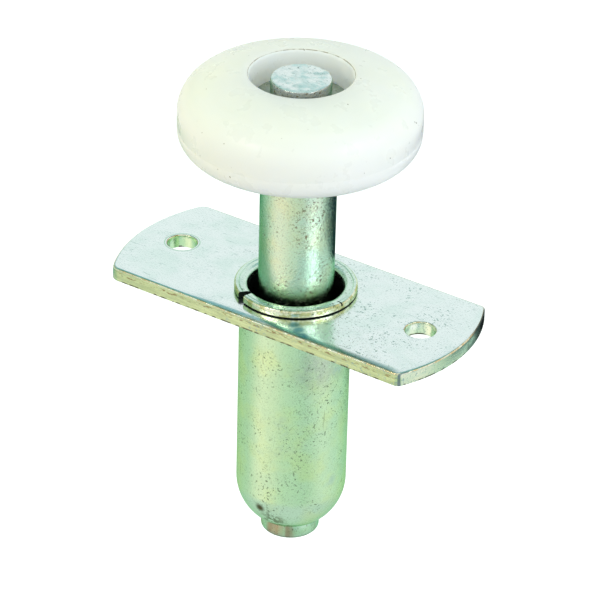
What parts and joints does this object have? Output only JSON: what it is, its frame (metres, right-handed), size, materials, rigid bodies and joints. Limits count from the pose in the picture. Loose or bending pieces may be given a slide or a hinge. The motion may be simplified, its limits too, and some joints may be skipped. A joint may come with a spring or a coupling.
{
  "type": "sliding door roller",
  "caption": "Spring-loaded top guide roller for a sliding or folding door: nylon wheel on a steel plunger in a cup flared over a screw-on plate.",
  "frame": {"origin": "on the roller's axis, in the plane of the plate's underside, where the plate sits on the door's edge", "axes": "+Z along the roller's axis towards the wheel, X along the plate's length through both screw holes, Y across the plate"},
  "size_m": [0.0508, 0.0318, 0.0692],
  "materials": {
    "zinc_sheet": "bright zinc plate on sheared sheet steel, pale cyan face, yellow-green worn edges",
    "zinc_cup": "bright zinc plate on drawn steel, pale green passivation with fine dark scratches",
    "plated_rod": "bright plated turned steel, rough sheared ends",
    "washer_steel": "dull grey plated washer steel",
    "spring_wire": "oiled spring wire",
    "white_nylon": "moulded off-white nylon, soft gloss"
  },
  "bodies": {
    "root": {"mounting_plate": "zinc_sheet", "housing_cup": "zinc_cup", "spring_seat": "washer_steel", "compression_spring": "spring_wire"},
    "slider": {"guide_collar": "plated_rod"},
    "plunger": {"axle_rod": "plated_rod", "plunger_sleeve": "plated_rod", "thrust_washer": "washer_steel", "retaining_washer": "washer_steel"},
    "wheel": {"nylon_wheel": "white_nylon"}
  },
  "joints": [
    {"name": "plunger_slide", "type": "slide", "parent": "root", "child": "slider", "axis": [0, 0, -1], "range_m": [0, 0.012], "stiffness_N_per_m": 2300, "springref_m": -0.004, "deforming": ["compression_spring"]},
    {"name": "rod_turn", "type": "hinge", "parent": "slider", "child": "plunger", "pos_m": [0, 0, 0], "axis": [0, 0, 1], "continuous": true},
    {"name": "wheel_spin", "type": "hinge", "parent": "plunger", "child": "wheel", "pos_m": [0, 0, 0.0284], "axis": [0, 0, 1], "continuous": true}
  ]
}
